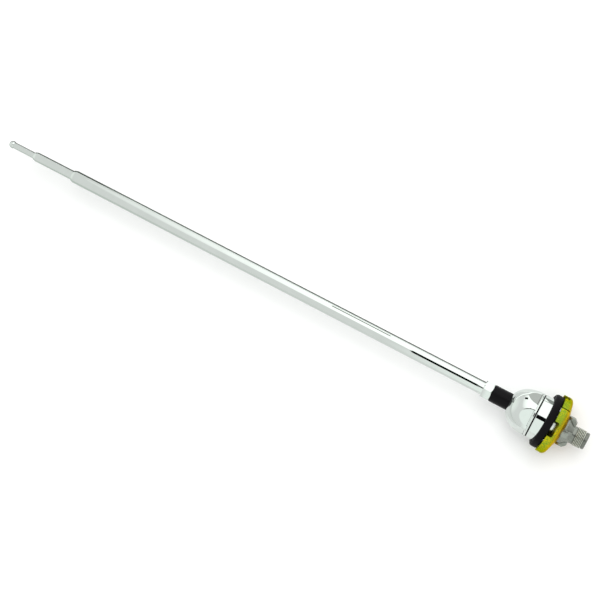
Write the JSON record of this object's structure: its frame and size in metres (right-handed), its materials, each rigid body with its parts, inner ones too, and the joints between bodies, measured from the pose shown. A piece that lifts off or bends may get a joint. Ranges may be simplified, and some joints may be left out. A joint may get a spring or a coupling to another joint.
{
  "type": "car mast aerial",
  "caption": "Telescopic car mast aerial with a chrome mast, insulated foot, domed clamp nut, wedge collar, gasket and claw cup for a sloping panel.",
  "frame": {"origin": "where the mast axis meets the outer face of the car's panel, on the underside of the gasket", "axes": "+Z along the mast towards its tip; the panel slopes down towards -Y by the wedge angle; +X across"},
  "size_m": [0.0314, 0.0315, 0.3483],
  "materials": {
    "chrome": "bright plated",
    "black_plastic": "moulded, glossy",
    "rubber": "matt moulded rubber",
    "yellow_zinc": "yellow passivated zinc plate on pressed steel",
    "die_cast": "bare die-cast zinc",
    "brass": "turned",
    "white_plastic": "turned"
  },
  "bodies": {
    "wedge": {"wedge_collar": "chrome", "gasket": "rubber", "dome_seal": "rubber"},
    "dome": {"dome_nut": "chrome"},
    "stub": {"stub_body": "die_cast", "claw_cup": "yellow_zinc", "contact_insulator": "white_plastic", "centre_contact": "brass", "mast_stud": "brass", "insulator_sleeve": "black_plastic", "sleeve_seal": "rubber", "hex_ferrule": "chrome", "outer_tube": "chrome"},
    "middle": {"middle_tube": "chrome", "middle_stop": "brass", "middle_spring": "brass"},
    "tip": {"tip_rod": "chrome", "tip_stop": "brass", "tip_spring": "brass", "tip_bead": "chrome"}
  },
  "joints": [
    {"name": "dome_turn", "type": "hinge", "parent": "wedge", "child": "dome", "pos_m": [0, 0, 0.015], "axis": [0, 0, 1], "range_deg": [0, 1080]},
    {"name": "clamp_slide", "type": "slide", "parent": "wedge", "child": "stub", "axis": [0, 0, -1], "range_m": [0, 0.003]},
    {"name": "middle_slide", "type": "slide", "parent": "stub", "child": "middle", "axis": [0, 0, 1], "range_m": [0, 0.2301]},
    {"name": "tip_slide", "type": "slide", "parent": "middle", "child": "tip", "axis": [0, 0, 1], "range_m": [0, 0.2399]}
  ],
  "couplings": [
    {"joint": "dome_turn", "follows": "clamp_slide", "rad_per_m": 6283.2}
  ]
}
